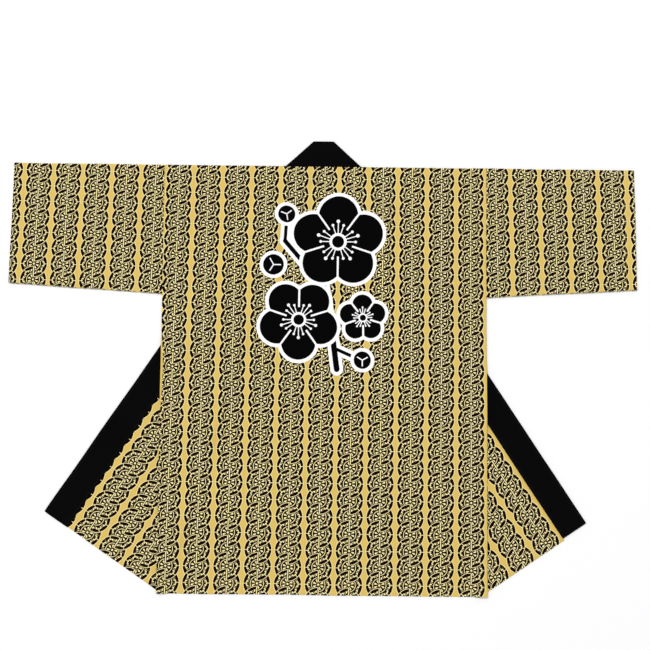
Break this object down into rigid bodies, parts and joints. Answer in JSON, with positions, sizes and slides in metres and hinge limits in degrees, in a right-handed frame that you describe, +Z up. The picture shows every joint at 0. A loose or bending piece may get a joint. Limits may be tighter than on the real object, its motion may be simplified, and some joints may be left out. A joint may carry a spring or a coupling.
{
  "type": "happi coat",
  "caption": "Open-fronted happi coat in patterned cotton with a plain dark band, laid flat with its back up and both fronts folded outwards.",
  "frame": {"origin": "bottom centre of the coat's bounding box, on the surface it lies on", "axes": "+X towards the wearer's right sleeve, +Y from the hem towards the collar, +Z up out of the surface, the back's printed face"},
  "size_m": [1.222, 0.8687, 0.0058],
  "materials": {
    "printed_cotton": "matte plain-weave cotton, gold ground printed with a chain of dark wheels",
    "black_cotton": "matte black cotton, folded double"
  },
  "bodies": {
    "root": {"body": "printed_cotton", "sleeve_left": "printed_cotton", "sleeve_right": "printed_cotton", "collar": "black_cotton"}
  },
  "joints": []
}
